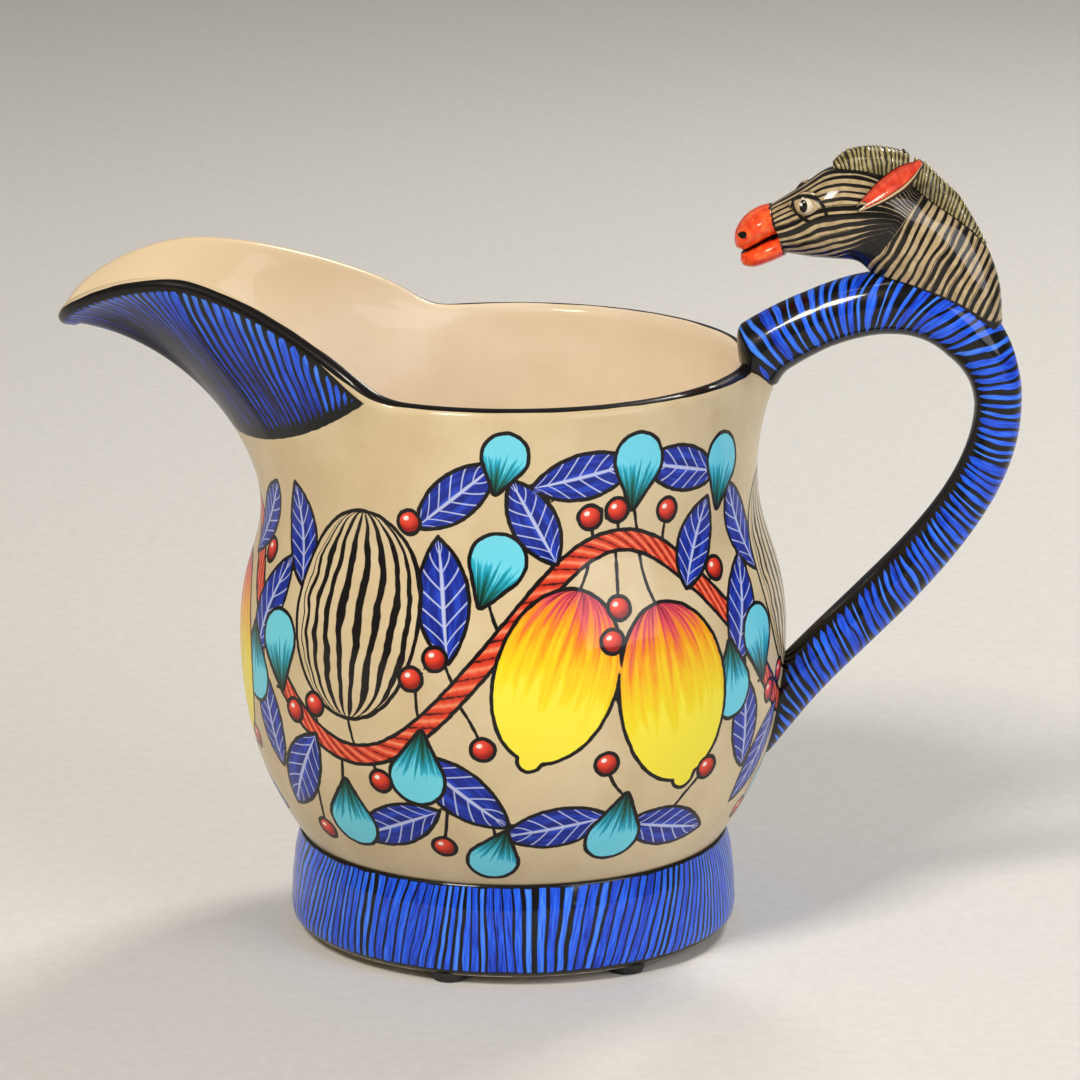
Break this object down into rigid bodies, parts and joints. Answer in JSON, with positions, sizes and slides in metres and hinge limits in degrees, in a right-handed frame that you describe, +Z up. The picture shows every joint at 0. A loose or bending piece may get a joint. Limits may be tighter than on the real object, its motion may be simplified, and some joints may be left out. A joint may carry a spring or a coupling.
{
  "type": "milk jug",
  "caption": "Footed round milk jug with a long beak spout and a looped handle that carries a modelled zebra's head looking over the rim.",
  "frame": {"origin": "middle of the jug's box from spout tip to handle, on the plane the pads stand on; the vessel's axis is 5 mm to the spout's side of it", "axes": "+Z up along the vessel's axis, +X towards the handle with the spout at -X, +Y to the right of someone looking from the spout's tip to the handle with the jug upright"},
  "size_m": [0.2008, 0.1146, 0.1683],
  "materials": {
    "cream_glaze": "clear glaze over cream earthenware",
    "blue_glaze": "clear glaze over blue and black brush strokes",
    "striped_glaze": "clear glaze over black stripes on cream",
    "mane_glaze": "clear glaze over olive cream with dark hatching",
    "red_glaze": "clear glaze over orange red",
    "black_glaze": "clear glaze over black",
    "rubber": "matt black rubber"
  },
  "bodies": {
    "root": {"vessel": "cream_glaze", "foot_ring": "blue_glaze", "spout": "blue_glaze", "handle": "blue_glaze", "head_and_neck": "striped_glaze", "muzzle": "red_glaze", "lower_lip": "red_glaze", "mane": "mane_glaze", "forelock": "mane_glaze", "left_ear": "red_glaze", "right_ear": "red_glaze", "left_eyelid": "striped_glaze", "right_eyelid": "striped_glaze", "left_eye": "black_glaze", "right_eye": "black_glaze", "foot_pad_1": "rubber", "foot_pad_2": "rubber", "foot_pad_3": "rubber", "foot_pad_4": "rubber", "foot_pad_5": "rubber", "foot_pad_6": "rubber"}
  },
  "joints": []
}
